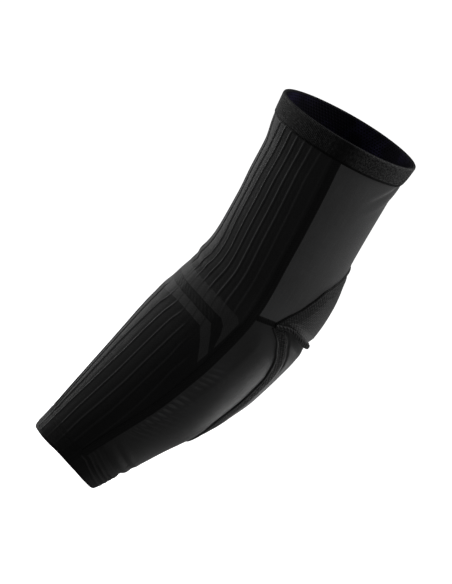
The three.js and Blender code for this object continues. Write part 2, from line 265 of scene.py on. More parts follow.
def sweep(name, P, N, prof, uvlen=1.0, attrs=None, cap=True):
    """A strip or cord: section prof(i) (K points of across, up in mm, closed loop) along points P with normals N."""
    P, N = np.asarray(P, float), np.asarray(N, float)
    T = np.gradient(P, axis=0)
    T /= np.linalg.norm(T, axis=1)[:, None]
    B = np.cross(N, T)
    B /= np.linalg.norm(B, axis=1)[:, None]
    N = np.cross(T, B)
    length = np.concatenate([[0], np.cumsum(np.linalg.norm(np.diff(P, axis=0), axis=1))]) * 1000
    sec = prof(length)  # (R, K, 2)
    R, K = sec.shape[:2]
    V = P[:, None] + (B[:, None] * sec[..., :1] + N[:, None] * sec[..., 1:2]) * 0.001
    r, k = np.meshgrid(np.arange(R - 1), np.arange(K), indexing="ij")
    a, b = (r * K + k).ravel(), (r * K + (k + 1) % K).ravel()
    F = np.stack([a, b, b + K, a + K], -1).tolist()
    if cap:
        F += [list(range(K))[::-1], [(R - 1) * K + i for i in range(K)]]
    uv = np.stack([np.broadcast_to(np.arange(K) / K * uvlen / 100, (R, K)), np.broadcast_to(length[:, None] / 100, (R, K))], -1)
    return make(name, V, F, uv, attrs, sharp=60)


def on_line(s, deg, off):
    """Points and outward normals along a line on the sleeve."""
    P = at(s, deg, off)
    h = at(s, deg, np.asarray(off) + 1.0)
    N = h - P
    return P, N / np.linalg.norm(N, axis=1)[:, None]


def resample(s, deg, off, step):
    """Even steps, in mm, along a line given by s and deg."""
    P = at(s, deg, off)
    l = np.concatenate([[0], np.cumsum(np.linalg.norm(np.diff(P, axis=0), axis=1))]) * 1000
    n = max(int(l[-1] / step), 4)
    t = np.linspace(0, l[-1], n)
    return np.interp(t, l, s), np.interp(t, l, deg)


# ---------------------------------------------------------------- materials
class Nodes:
    def __init__(self, name):
        self.m = bpy.data.materials.new(name)
        self.m.use_nodes = True
        self.t = self.m.node_tree
        self.t.nodes.clear()
        self.out = self.t.nodes.new("ShaderNodeOutputMaterial")

    def add(self, kind, **kw):
        n = self.t.nodes.new(kind)
        for k, v in kw.items():
            setattr(n, k, v)
        return n

    def link(self, a, b):
        self.t.links.new(a, b)

    def put(self, socket, v):
        if hasattr(v, "is_output") or isinstance(v, bpy.types.NodeSocket):
            self.t.links.new(v, socket)
        else:
            socket.default_value = v

    def op(self, operation, a, b=0.0, c=0.0, clamp=False):
        n = self.add("ShaderNodeMath", operation=operation, use_clamp=clamp)
        self.put(n.inputs[0], a)
        self.put(n.inputs[1], b)
        if len(n.inputs) > 2:
            self.put(n.inputs[2], c)
        return n.outputs[0]

    def step(self, x, a, b):
        n = self.add("ShaderNodeMapRange", interpolation_type="SMOOTHSTEP")
        self.put(n.inputs["Value"], x)
        n.inputs["From Min"].default_value, n.inputs["From Max"].default_value = a, b
        return n.outputs[0]

    def mix(self, f, a, b):
        n = self.add("ShaderNodeMix", data_type="RGBA")
        self.put(n.inputs[0], f)
        self.put(n.inputs[6], a)
        self.put(n.inputs[7], b)
        return n.outputs[2]

    def attr(self, name):
        return self.add("ShaderNodeAttribute", attribute_name=name).outputs["Fac"]

    def uv(self):
        """u, v in mm along the cloth."""
        s = self.add("ShaderNodeSeparateXYZ")
        self.link(self.add("ShaderNodeUVMap", uv_map="cloth").outputs[0], s.inputs[0])
        return self.op("MULTIPLY", s.outputs[0], 100.0), self.op("MULTIPLY", s.outputs[1], 100.0)

    def vec(self, x, y, z=0.0):
        n = self.add("ShaderNodeCombineXYZ")
        for i, v in enumerate((x, y, z)):
            self.put(n.inputs[i], v)
        return n.outputs[0]

    def noise(self, vec, scale, detail=2.0, rough=0.5):
        n = self.add("ShaderNodeTexNoise")
        self.link(vec, n.inputs["Vector"])
        n.inputs["Scale"].default_value, n.inputs["Detail"].default_value, n.inputs["Roughness"].default_value = scale, detail, rough
        return n.outputs["Fac"]

    def line(self, x, pts, lo, hi, vlo, vhi):
        """Piecewise straight curve of x through pts."""
        m = self.add("ShaderNodeMapRange")
        self.put(m.inputs["Value"], x)
        m.inputs["From Min"].default_value, m.inputs["From Max"].default_value = lo, hi
        n = self.add("ShaderNodeFloatCurve")
        c = n.mapping.curves[0]
        pts = sorted(((p - lo) / (hi - lo), (q - vlo) / (vhi - vlo)) for p, q in pts)
        while len(c.points) < len(pts):
            c.points.new(0.5, 0.5)
        for p, (a, b) in zip(c.points, pts):
            p.location = (a, b)
            p.handle_type = "VECTOR"
        n.mapping.update()
        self.link(m.outputs[0], n.inputs["Value"])
        return self.op("MULTIPLY_ADD", n.outputs[0], vhi - vlo, vlo)

    def sine(self, x, period, phase=0.0):
        return self.op("SINE", self.op("MULTIPLY_ADD", x, 2 * math.pi / period, phase))

    def finish(self, color, rough, height=None, dist=0.0001, strength=1.0, sheen=0.0, sheen_rough=0.5, spec=0.5, sheen_tint=(1, 1, 1, 1)):
        p = self.add("ShaderNodeBsdfPrincipled")
        self.put(p.inputs["Base Color"], color)
        self.put(p.inputs["Roughness"], rough)
        p.inputs["Specular IOR Level"].default_value = spec
        p.inputs["Sheen Weight"].default_value = sheen
        p.inputs["Sheen Roughness"].default_value = sheen_rough
        p.inputs["Sheen Tint"].default_value = sheen_tint
        if height is not None:
            b = self.add("ShaderNodeBump")
            b.inputs["Strength"].default_value = strength
            b.inputs["Distance"].default_value = dist
            self.link(height, b.inputs["Height"])
            self.link(b.outputs[0], p.inputs["Normal"])
        self.link(p.outputs[0], self.out.inputs[0])
        return self.m


def grey(v, tint=(0.0, 0.0, 0.0)):
    return (v + tint[0], v + tint[1], v + tint[2], 1.0)


def knit_material():
    k = Nodes("ribbed_knit")
    u, v = k.uv()
    deg = k.op("MULTIPLY", u, 180 / math.pi / 45)
    th = k.op("SUBTRACT", 180.0, k.op("ABSOLUTE", k.op("SUBTRACT", deg, 180.0)))
    band = lambda top, bot: k.op("MULTIPLY", k.step(k.op("SUBTRACT", v, k.line(th, top, 96, 184, 130, 190)), -0.35, 0.35), k.step(k.op("SUBTRACT", k.line(th, bot, 96, 184, 130, 190), v), -0.35, 0.35))
    up = band([(96, 148), (100.5, 143.5), (104, 141), (126, 139), (147, 139), (170, 140.5), (184, 141)], [(96, 175), (101, 167), (104, 159), (108, 152.5), (113, 149.5), (140, 149.5), (167, 151.5), (184, 152)])
    lowb = band([(96, 178), (100, 174.5), (110, 163.5), (116, 157.5), (143, 158), (175, 161), (184, 161.5)], [(96, 189), (101, 183), (112, 172), (121, 164.8), (134, 165), (151, 166.5), (173, 171.5), (184, 172.5)])
    inside = k.step(th, 99.6, 100.6)
    chev = k.op("MULTIPLY", k.op("ADD", up, lowb, clamp=True), inside)
    # dark band between the two, with plain slanted hatching
    mid = k.op("MULTIPLY", k.step(k.op("SUBTRACT", v, k.line(th, [(96, 160), (113, 151.0), (140, 151.0), (167, 153), (184, 153.4)], 96, 184, 130, 190)), -0.3, 0.3), k.step(k.op("SUBTRACT", k.line(th, [(96, 150), (113, 156.2), (143, 156.6), (175, 159.6), (184, 160)], 96, 184, 130, 190), v), -0.3, 0.3))
    mid = k.op("MULTIPLY", mid, k.op("MULTIPLY", k.step(th, 116, 118), k.op("SUBTRACT", 1.0, k.step(th, 172, 174))))
    bars = k.sine(k.op("ADD", u, k.op("MULTIPLY", v, 0.9)), 3.6)
    hatch = k.op("MULTIPLY", k.step(bars, 0.25, 0.5), k.op("SUBTRACT", 1.0, k.step(bars, 0.8, 0.95)))
    hatch = k.op("MULTIPLY", k.op("MULTIPLY", hatch, mid), 0.6)
    rib = k.attr("rib")
    # diagonal ground of the knit and fine wales
    wob = k.noise(k.vec(u, v), 0.09, 3.0)
    diag = k.sine(k.op("ADD", k.op("MULTIPLY", u, 1.0), k.op("MULTIPLY", v, 0.62)), 1.25)
    diag2 = k.sine(k.op("SUBTRACT", k.op("MULTIPLY", u, 1.0), k.op("MULTIPLY", v, 0.75)), 1.55)
    course = k.sine(v, 0.95)
    ground = k.op("MULTIPLY", k.op("ADD", k.op("MULTIPLY", diag, 0.5), k.op("MULTIPLY", diag2, 0.35)), 1.0)
    tex = k.op("MULTIPLY_ADD", ground, 0.5, 0.5)
    col = k.mix(tex, grey(0.0030), grey(0.0078, (0, 0.0002, 0.0004)))
    col = k.mix(k.op("MULTIPLY", k.step(wob, 0.35, 0.75), 0.35), col, grey(0.008))
    col = k.mix(k.op("MULTIPLY", chev, 0.85), col, k.mix(tex, grey(0.020), grey(0.034)))
    col = k.mix(hatch, col, grey(0.022))
    # painted highlight: the raised ribs are coloured lighter, as if catching the light
    col = k.mix(k.op("MULTIPLY", rib, k.op("MULTIPLY_ADD", chev, -0.5, 0.8)), col, grey(0.060, (0, 0, 0.001)))
    col = k.mix(k.op("MULTIPLY", k.op("MULTIPLY", k.attr("cross"), chev), 0.62), col, grey(0.006))
    # painted light: the upper arm's knit is paler and the forearm's knit darker towards the wrist, standing in for the
    # light falling off along the arm
    col = k.mix(k.op("MULTIPLY", k.step(v, 152, 138), 0.27), col, grey(0.024))
    col = k.mix(k.op("MULTIPLY", k.step(v, 236, 284), 0.35), col, grey(0.0028))
    h = k.op("ADD", k.op("MULTIPLY", ground, 0.6), k.op("MULTIPLY", course, 0.4))
    h = k.op("ADD", h, k.op("MULTIPLY", k.op("ADD", chev, hatch), 1.3))
    return k.finish(col, k.op("MULTIPLY_ADD", tex, 0.1, 0.72), h, 0.00011, 0.9, sheen=0.08, sheen_rough=0.35, spec=0.14)


def satin_material(name="satin_lycra", base=0.045, low=0.039, spec=0.26):
    k = Nodes(name)
    u, v = k.uv()
    fine = k.noise(k.vec(k.op("MULTIPLY", u, 2.3), k.op("MULTIPLY", v, 0.8)), 1.0, 3.0, 0.6)
    loops = k.op("MULTIPLY", k.sine(u, 0.72), k.sine(v, 0.9))
    slow = k.noise(k.vec(k.op("MULTIPLY", u, 0.05), k.op("MULTIPLY", v, 0.035)), 1.0, 3.0, 0.55)
    streak = k.noise(k.vec(k.op("MULTIPLY", u, 0.9), k.op("MULTIPLY", v, 0.05)), 1.0, 2.0)
    col = k.mix(k.step(slow, 0.3, 0.7), grey(low), grey(base, (0, 0.0003, 0.0012)))
    col = k.mix(k.op("MULTIPLY", k.step(fine, 0.35, 0.75), 0.4), col, grey(base * 1.5))
    col = k.mix(k.op("MULTIPLY", k.step(streak, 0.45, 0.8), 0.22), col, grey(base * 1.7))
    # painted shade on the forearm panel: darker near the elbow and towards the wrist
    if "forearm" in name:
        col = k.mix(k.op("MULTIPLY", k.step(v, 176, 142), 0.45), col, grey(0.0060))
        col = k.mix(k.op("MULTIPLY", k.step(v, 205, 272), 0.74), col, grey(0.0036))
        col = k.mix(k.op("MULTIPLY", k.step(v, 254, 268), 0.45), col, grey(0.0022))
    # painted shade from the below weight: the pulls under the cuff and the cloth from the gathers down to the wrist hem
    # are darker; it also roughens the cloth there
    col = k.mix(k.op("MULTIPLY", k.attr("below"), 0.85), col, grey(0.0065))
    col = k.mix(k.op("MULTIPLY", k.attr("hem"), 0.35), col, grey(0.024))
    h = k.op("ADD", k.op("MULTIPLY", loops, 0.5), k.op("MULTIPLY", fine, 1.2))
    rough = k.op("MULTIPLY_ADD", fine, 0.10, 0.31)
    rough = k.op("MULTIPLY_ADD", k.attr("below"), 0.45, rough)
    if "forearm" in name:
        rough = k.op("MULTIPLY_ADD", k.step(v, 222, 268), 0.12, rough)
    return k.finish(col, rough, h, 0.00006, 0.8, sheen=0.10, sheen_rough=0.3, spec=spec)


def cover_material(name="abrasion_cloth"):
    """Coarse basket weave near the edge, smoother cloth further in where the piece says so."""
    k = Nodes(name)
    u, v = k.uv()
    n = k.noise(k.vec(u, v), 0.5, 2.0)
    uu = k.op("MULTIPLY_ADD", n, 0.5, u)
    vv = k.op("MULTIPLY_ADD", n, 0.5, v)
    cell = k.op("MULTIPLY", k.sine(uu, 2.1), k.sine(vv, 2.5))
    over = k.op("MULTIPLY", k.sine(uu, 1.05), k.sine(k.op("ADD", vv, k.op("MULTIPLY", uu, 0.5)), 1.25))
    weave = k.op("ADD", k.op("MULTIPLY", cell, 0.62), k.op("MULTIPLY", over, 0.38))
    coarse = k.attr("coarse")
    dots = k.step(weave, -0.1, 0.65)
    slow = k.noise(k.vec(k.op("MULTIPLY", u, 0.06), k.op("MULTIPLY", v, 0.06)), 1.0, 3.0)
    fine = k.noise(k.vec(k.op("MULTIPLY", u, 2.0), k.op("MULTIPLY", v, 0.9)), 1.0, 3.0, 0.6)
    plain = k.mix(k.step(fine, 0.3, 0.75), grey(0.007), grey(0.013, (0, 0.0002, 0.0004)))
    rough_c = k.mix(dots, grey(0.0024), grey(0.025, (0, 0.0002, 0.0004)))
    col = k.mix(coarse, plain, rough_c)
    col = k.mix(k.op("MULTIPLY", k.step(slow, 0.4, 0.75), 0.3), col, grey(0.022))
    # painted shade in the grooves along the edges and near the fold, and the lower cloth's darker coarse strip
    col = k.mix(k.op("MULTIPLY", k.attr("painted_shade_and_dark_strip"), 0.8), col, grey(0.002))
    h = k.op("ADD", k.op("MULTIPLY", k.op("MULTIPLY", weave, coarse), 1.0), k.op("MULTIPLY", fine, 0.25))
    return k.finish(col, k.op("MULTIPLY_ADD", coarse, 0.22, 0.42), h, 0.00028, 1.0, sheen=0.08, sheen_rough=0.35, spec=0.24)


def thread_material(name, dark, light, period=1.5, slant=0.6, sheen=0.25):
    k = Nodes(name)
    u, v = k.uv()
    st = k.sine(k.op("ADD", v, k.op("MULTIPLY", u, slant)), period)
    fib = k.noise(k.vec(k.op("MULTIPLY", u, 3.0), k.op("MULTIPLY", v, 1.2)), 1.0, 3.0)
    col = k.mix(k.step(st, -0.2, 0.7), grey(dark), grey(light))
    col = k.mix(k.op("MULTIPLY", fib, 0.4), col, grey(light * 0.8))
    col = k.mix(k.op("MULTIPLY", k.attr("dim"), 0.9), col, grey(dark * 0.3))
    return k.finish(col, 0.66, k.op("ADD", k.op("MULTIPLY", st, 0.5), k.op("MULTIPLY", fib, 0.6)), 0.00010, 0.8, sheen=0.05, sheen_rough=0.4, spec=0.12)


def cuff_material(name="cuff_knit", wales=280):
    k = Nodes(name)
    u, v = k.uv()
    per = 2 * math.pi * 45 / wales
    wale = k.sine(u, per)
    row = k.sine(k.op("ADD", v, k.op("MULTIPLY", k.op("ABSOLUTE", k.sine(u, per * 2)), 0.4)), 1.15)
    n = k.noise(k.vec(k.op("MULTIPLY", u, 0.9), k.op("MULTIPLY", v, 0.9)), 1.0, 3.0)
    slow = k.noise(k.vec(k.op("MULTIPLY", u, 0.05), k.op("MULTIPLY", v, 0.05)), 1.0, 2.0)
    t = k.op("ADD", k.op("MULTIPLY", wale, 0.6), k.op("MULTIPLY", row, 0.4))
    col = k.mix(k.step(t, -0.6, 0.7), grey(0.0052), grey(0.0215, (0, 0.0001, 0.0004)))
    fleck = k.noise(k.vec(k.op("MULTIPLY", u, 0.62), k.op("MULTIPLY", k.op("ADD", v, k.op("MULTIPLY", u, 0.35)), 0.36)), 1.0, 2.0)
    col = k.mix(k.op("MULTIPLY", k.step(n, 0.35, 0.7), 0.4), col, grey(0.036))
    col = k.mix(k.op("MULTIPLY", k.step(fleck, 0.52, 0.36), 0.6), col, grey(0.0050))
    col = k.mix(k.op("MULTIPLY", k.step(fleck, 0.54, 0.68), 0.5), col, grey(0.044))
    col = k.mix(k.op("MULTIPLY", k.step(slow, 0.4, 0.7), 0.25), col, grey(0.012))
    speck = k.step(k.noise(k.vec(k.op("MULTIPLY", u, 1.25), k.op("MULTIPLY", v, 0.75)), 1.0, 1.5), 0.40, 0.60)
    # painted light: the band's rear half, where the light falls, is paler, with a mottled speckle
    col = k.mix(k.op("MULTIPLY", k.attr("rear"), 0.66), col, k.mix(speck, grey(0.012), grey(0.078)))
    # painted shade where the band passes over the side seam
    col = k.mix(k.op("MULTIPLY", k.attr("painted_shade_over_seam"), 0.72), col, grey(0.0032))
    # dark line along the band's lower edge: the stitching there, with painted shadow under the edge
    col = k.mix(k.op("MULTIPLY", k.step(v, 13.2, 13.9), 0.9), col, grey(0.0022))
    # painted shade: the inside of the band and its turned-in rim are darker
    inner = k.attr("inner")
    col = k.mix(inner, col, (0.0014, 0.0012, 0.0020, 1))
    return k.finish(col, 0.78, k.op("ADD", t, k.op("MULTIPLY", n, 0.8)), 0.00013, 0.9, sheen=0.02, sheen_rough=0.4, spec=0.08)


def wrist_material(name="wrist_knit"):
    k = Nodes(name)
    u, v = k.uv()
    diag = k.op("ADD", k.op("MULTIPLY", k.sine(k.op("ADD", u, k.op("MULTIPLY", v, 0.62)), 1.25), 0.5), k.op("MULTIPLY", k.sine(k.op("SUBTRACT", u, k.op("MULTIPLY", v, 0.75)), 1.55), 0.35))
    wale = k.op("ADD", k.op("MULTIPLY", k.sine(u, 1.1), 0.6), k.op("MULTIPLY", k.sine(v, 0.9), 0.4))
    front_ = k.attr("front")
    t = k.op("ADD", k.op("MULTIPLY", diag, front_), k.op("MULTIPLY", wale, k.op("SUBTRACT", 1.0, front_)))
    n = k.noise(k.vec(k.op("MULTIPLY", u, 0.9), k.op("MULTIPLY", v, 0.9)), 1.0, 3.0)
    tex = k.op("MULTIPLY_ADD", t, 0.5, 0.5)
    rear = k.mix(tex, grey(0.0030), grey(0.0090))
    knit = k.mix(tex, grey(0.0024), grey(0.0060, (0, 0.0001, 0.0003)))
    col = k.mix(front_, rear, knit)
    col = k.mix(k.op("MULTIPLY", k.step(n, 0.4, 0.75), 0.3), col, grey(0.012))
    col = k.mix(k.op("MULTIPLY", k.attr("hem"), 0.6), col, grey(0.034))
    # painted highlight: the raised ribs running into the hem are coloured lighter
    col = k.mix(k.op("MULTIPLY", k.attr("rib"), 0.5), col, grey(0.030))
    col = k.mix(k.attr("edge"), col, (0.0030, 0.0026, 0.0020, 1))
    col = k.mix(k.op("MULTIPLY", k.attr("inner"), 0.8), col, (0.004, 0.0035, 0.006, 1))
    return k.finish(col, 0.74, k.op("ADD", t, k.op("MULTIPLY", n, 0.6)), 0.00011, 0.9, sheen=0.045, sheen_rough=0.4, spec=0.11)


def mesh_material(name="mesh_lining"):
    k = Nodes(name)
    u, v = k.uv()
    row = k.op("FLOOR", k.op("DIVIDE", v, 1.9))
    shift = k.op("MULTIPLY", k.op("MODULO", row, 2.0), 1.15)
    cu = k.op("SUBTRACT", k.op("FRACT", k.op("DIVIDE", k.op("ADD", u, shift), 2.3)), 0.5)
    cv = k.op("SUBTRACT", k.op("FRACT", k.op("DIVIDE", v, 1.9)), 0.5)
    r = k.op("SQRT", k.op("ADD", k.op("MULTIPLY", cu, cu), k.op("MULTIPLY", cv, cv)))
    hole = k.op("SUBTRACT", 1.0, k.step(r, 0.22, 0.36))
    n = k.noise(k.vec(k.op("MULTIPLY", u, 0.05), k.op("MULTIPLY", v, 0.05)), 1.0, 3.0)
    thread = k.mix(k.step(n, 0.45, 0.66), (0.0016, 0.0012, 0.0032, 1), (0.0074, 0.0060, 0.0175, 1))
    col = k.mix(hole, thread, (0.0006, 0.0005, 0.0009, 1))
    return k.finish(col, 0.7, k.op("MULTIPLY", hole, -1.0), 0.00025, 0.9, sheen=0.012, sheen_rough=0.4, spec=0.03, sheen_tint=(0.75, 0.7, 1.0, 1))


def foam_material():
    k = Nodes("foam")
    c = k.add("ShaderNodeTexCoord").outputs["Object"]
    n = k.add("ShaderNodeTexVoronoi")
    k.link(c, n.inputs["Vector"])
    n.inputs["Scale"].default_value = 900.0
    big = k.add("ShaderNodeTexNoise")
    k.link(c, big.inputs["Vector"])
    big.inputs["Scale"].default_value = 60.0
    col = k.mix(k.step(n.outputs["Distance"], 0.1, 0.7), grey(0.028), grey(0.055))
    col = k.mix(k.op("MULTIPLY", big.outputs["Fac"], 0.4), col, grey(0.040))
    return k.finish(col, 0.85, n.outputs["Distance"], 0.0002, 0.6, spec=0.3)


# SATIN and FORE_SATIN are lit and shaded copies of one satin: the forearm's darker base is painted shade for that
# panel's dimmer look under the lamps
KNIT, SATIN, FORE_SATIN, COVER = knit_material(), satin_material(), satin_material("satin_lycra_forearm", 0.0150, 0.0105, 0.38), cover_material()
SEAM = thread_material("seam_thread", 0.0022, 0.0070, 1.5)
FOLD = thread_material("fold_stitching", 0.0010, 0.0200, 2.9, slant=1.3)
PIPE = thread_material("piping", 0.022, 0.095, 1.7, slant=0.9)
DARK_PIPE = thread_material("cover_binding", 0.0010, 0.0032, 1.7, slant=0.9)
CUFF, WRIST, MESH, FOAM = cuff_material(), wrist_material(), mesh_material(), foam_material()

PIECES = {}
# The cloth is cut narrower and a little shorter than the form it is stretched over.
STRETCH_WIDTH, STRETCH_LENGTH = 1.08, 1.02


def stretched(ob):
    w, l, area_ = CUT[ob.name]
    w, l = w / STRETCH_WIDTH, l / STRETCH_LENGTH
    print("cut", ob.name, round(w * 1000), "x", round(l * 1000), "mm, area", round(area_ / STRETCH_WIDTH / STRETCH_LENGTH * 1e4), "cm2")
    return ob


def done(ob, material, nodes, body=None, kind=None):
    ob.data.materials.append(material)
    if body:
        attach(ob, body)
    else:
        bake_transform(ob)
    if nodes:
        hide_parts(*nodes)
    PIECES[ob.name] = ob
    return ob


# ---------------------------------------------------------------- ribbed knit front, one cloth from cuff to wrist
RIB_S = [14, 24, 34.5, 46, 59.5, 73.5, 88.5, 104.5, 120.5, 134.5, 170, 183.5, 198.5, 214.5, 233, 253, 273, 291, 308]
# Each rib in degrees from the front centre line. The outer rows only guide the mesh on the forearm.
RIBS = [
    [0.0] * 19,
    [17.0, 15.0, 11.8, 11.5, 11.5, 10.6, 12.0, 15.0, 16.0, 13.5, 18.0, 15.2, 14.0, 11.5, 10.5, 10.2, 8.8, 8.0, 8.0],
    [26.0, 24.5, 22.0, 21.5, 21.0, 19.9, 20.8, 23.6, 24.4, 22.6, 29.2, 27.5, 26.8, 26.2, 25.0, 23.8, 21.4, 19.8, 19.5],
    [33.5, 32.5, 30.4, 30.2, 30.2, 29.5, 30.0, 32.2, 33.0, 31.8, 39.8, 38.2, 38.2, 38.0, 38.2, 38.0, 37.4, 37.5, 37.5],
    [41.0, 40.0, 38.4, 38.3, 38.7, 38.2, 38.8, 40.5, 41.8, 41.0, 50.2, 50.0, 50.5, 50.8, 52.0, 52.4, 51.8, 52.8, 53.5],
    [48.3, 47.5, 46.0, 46.3, 47.0, 46.9, 47.5, 49.0, 50.6, 50.5, 60.5, 60.2, 62.2, 63.2, 65.0, 67.0, 67.1, 67.5, 68.0],
    [55.5, 54.8, 53.6, 54.4, 55.3, 55.6, 56.3, 58.0, 59.5, 60.0, 72.0, 72.0, 72.4, 74.8, 78.0, 80.3, 81.2, 81.5, 81.5],
    [63.5, 62.8, 61.9, 62.8, 64.0, 64.6, 65.8, 67.1, 68.8, 69.9, 77.7, 78.0, 78.4, 80.6, 83.2, 84.7, 85.0, 85.2, 85.0],
    [71.5, 71.5, 71.8, 73.0, 74.2, 74.8, 75.3, 76.0, 77.4, 78.6, 83.3, 84.1, 84.8, 86.5, 88.3, 88.8, 88.7, 88.9, 88.6],
]
RIB_LINES = [curve(RIB_S, r) for r in RIBS]
UP_STRENGTH = [0.9, 0.9, 1.0, 1.0, 1.0, 0.85, 0.62, 0.32, 0.12]
LOW_STRENGTH = [0.9, 1.0, 1.0, 0.62, 0.38, 0.18, 0.16, 0.0, 0.0]


def rib_relief(S, T):
    """Degrees, rib weight, faint crossing weight, the seam edge in degrees and the distance in mm to the nearest rib,
    for rib coordinate T, where rib k lies at T = k.
    """
    edge = 180 - seam_deg(S) - 0.15
    a = np.abs(T)
    rows = [f(S) for f in RIB_LINES] + [edge]
    lo = np.clip(np.floor(a).astype(int), 0, 8)
    f = a - lo
    stack = np.stack(rows)
    pick = lambda i: np.take_along_axis(stack, i[None], 0)[0]
    delta = pick(lo) * (1 - f) + pick(lo + 1) * f
    k = np.clip(np.round(a).astype(int), 0, 9)
    near = np.abs(delta - pick(k)) * math.pi / 180 * side(S)
    prof = np.exp(-(near / 0.52) ** 2) * (k < 9)
    up = np.take(np.array(UP_STRENGTH + [0.0]), k) * (1 - smooth(S, 136.5, 144.5))
    start = np.take(np.array([160, 160, 162, 163, 168, 178, 182, 200, 200, 200.0]), k)
    low = np.take(np.array(LOW_STRENGTH + [0.0]), k) * smooth(S - start, 0, 12)
    fade = smooth(S, 13.5, 17)
    rib = prof * (up + low) * fade
    cross = prof * (k < 6) * smooth(S, 134, 139) * (1 - smooth(S, 172, 178))
    return delta, rib, cross, edge, near


def knit_front():
    unit = np.array([-0.5, -0.33, -0.19, -0.115, -0.07, -0.034, 0.0, 0.034, 0.07, 0.115, 0.19, 0.33])
    t = np.unique(np.concatenate([k + unit for k in range(-9, 10)]).round(4))
    t = t[(t >= -9.001) & (t <= 9.001)]
    s = np.concatenate([np.linspace(14.6, 120, 56), np.linspace(121.6, 190, 46), np.linspace(192, S_END - WRIST_DEPTH + 1.0, 50)])
    S, T = np.meshgrid(s, t, indexing="ij")
    delta, rib, cross, edge, near = rib_relief(S, T)
    D = 180 + np.sign(T) * delta
    low_side = -0.16 * np.exp(-((near - 1.25) / 0.6) ** 2) * (rib * 0 + 1) * (np.abs(T) < 7.5)
    off = 0.55 * rib - 0.10 * cross + low_side * smooth(S, 14, 20) - 0.05
    # the knit dips towards the seam
    to_seam = (edge - delta) * math.pi / 180 * side(S)
    off = off - 0.40 * np.exp(-((to_seam - 5.0) / 1.0) ** 2)
    return stretched(done(shell("ribbed_knit_front", S, D, off, -1.35, attrs={"rib": rib, "cross": cross}), KNIT, ["biceps_knit_panel", "elbow_crease_knit", "forearm_knit_panel"]))


knit_front()


# ---------------------------------------------------------------- smooth rear panels
def at_line(u, f, guess):
    """Distance s where s = f(|angle|) on column u of the rear half."""
    s = np.full(np.shape(u), guess, float)
    for _ in range(12):
        s = 0.5 * s + 0.5 * f(np.abs(u) * (seam_deg(s) - 0.15))
    return s


def columns(extra=()):
    u = np.concatenate([np.linspace(0, 0.80, 44), np.linspace(0.815, 1.0, 20), np.array(extra, float)])
    u = np.unique(u.round(5))
    return np.concatenate([-u[:0:-1], u])


def rear_panel(name, lo, hi, rows, nodes, top=0.0):
    u = columns()
    v = rows
    S = lo(u)[None, :] + (hi(u) - lo(u))[None, :] * v[:, None]
    D = u[None, :] * (seam_deg(S) - 0.15)
    a = np.abs(D)
    q = S - hem_drop(a)
    # below is painted shade: darker from the gathers down to the wrist hem and in the pulls under the cuff
    below = 0.5 * smooth(q, 252, 268) + 0.5 * smooth(q, 272.2, 274.2)
    t, pull = cuff_pull(S, a)
    below = np.maximum(below, pull * (0.42 * np.exp(-((t - 1.6) / 3.4) ** 2) + 0.24 * np.exp(-((t - 14.5) / 4.5) ** 2)))
    hem = sum(np.exp(-((q - x) / 0.6) ** 2) for x in HEM_LINES)
    ob = shell(name, S, D, top, -1.3, attrs={"below": below, "hem": hem})
    return stretched(done(ob, FORE_SATIN if "forearm" in name else SATIN, nodes))


def triceps_end(u):
    th = np.abs(u) * seam_deg(131.0)
    return np.where(th < 76, at_line(u, cover_top, 100.0) - 0.3, short_seam(th) - 0.25)


def side_start(u):
    th = np.abs(u) * seam_deg(131.0)
    inside = np.array([np.interp(abs(x), *NOTCH) for x in u])
    return np.where(th < 76, inside, short_seam(th) + 0.25)


# The lower edge of the cover as a function of column, from its own points.
_d = np.linspace(0, 76, 400)
_s = cover_bottom(_d)
_u = _d / (seam_deg(_s) - 0.15)
_o = np.argsort(_u)
NOTCH = (_u[_o], _s[_o] + 0.3)
rear_panel("triceps_panel_cloth", lambda u: np.full(len(u), 14.6), triceps_end, np.linspace(0, 1, 92), ["triceps_panel"])
rear_panel("forearm_side_cloth", side_start, lambda u: np.full(len(u), S_END - WRIST_DEPTH + 1.0), np.concatenate([np.linspace(0, 0.82, 150), np.linspace(0.823, 1, 62)]), ["forearm_side_panel", "elbow_side_near", "elbow_side_far"])


